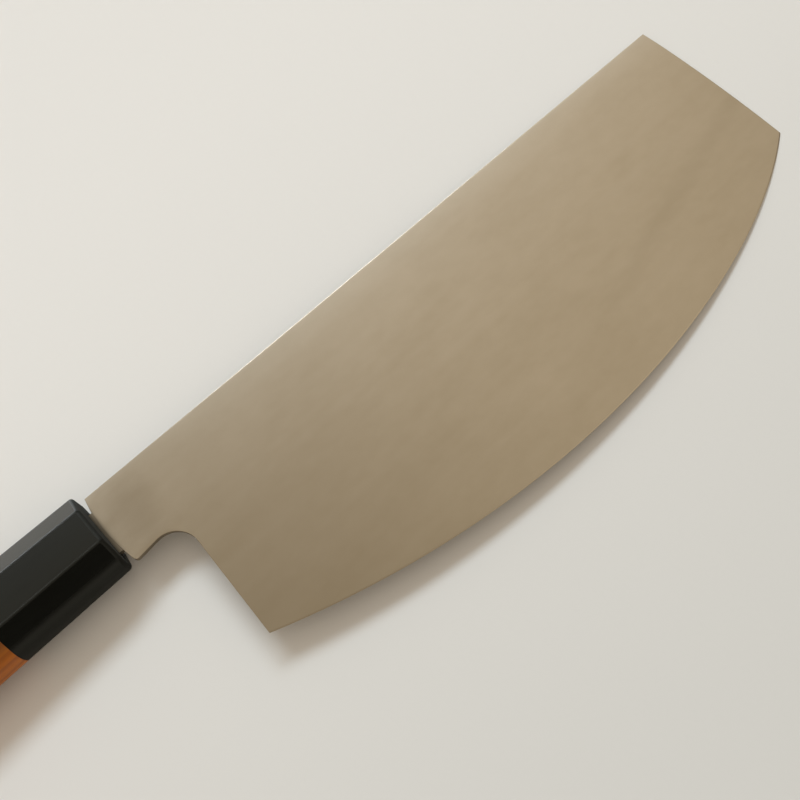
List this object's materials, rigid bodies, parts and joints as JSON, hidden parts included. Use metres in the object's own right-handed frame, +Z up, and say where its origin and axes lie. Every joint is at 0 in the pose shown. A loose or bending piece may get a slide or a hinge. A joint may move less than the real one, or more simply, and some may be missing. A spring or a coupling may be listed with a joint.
{
  "type": "sushi knife",
  "caption": "Wide sushi-cutting knife with a long curved edge, straight nose and choil, on a tapered octagonal wooden handle with a black slotted ferrule, lying on its side.",
  "frame": {"origin": "middle of the knife's length and width, on the table that it lies on", "axes": "+X along the knife from the butt towards the nose, -Y towards the cutting edge, +Z up from the table"},
  "size_m": [0.3656, 0.0838, 0.0289],
  "materials": {
    "blade_steel": "satin ground steel with a fine lengthwise grain",
    "ferrule_black": "satin black, crisp facets with a small front chamfer",
    "grip_wood": "oiled orange-brown hardwood, fine grain along the handle",
    "dowel_wood": "plain turned hardwood",
    "bedding_resin": "set amber resin"
  },
  "bodies": {
    "root": {"blade": "blade_steel", "ferrule": "ferrule_black", "grip": "grip_wood", "core_dowel": "dowel_wood", "tang_bedding": "bedding_resin"}
  },
  "joints": []
}
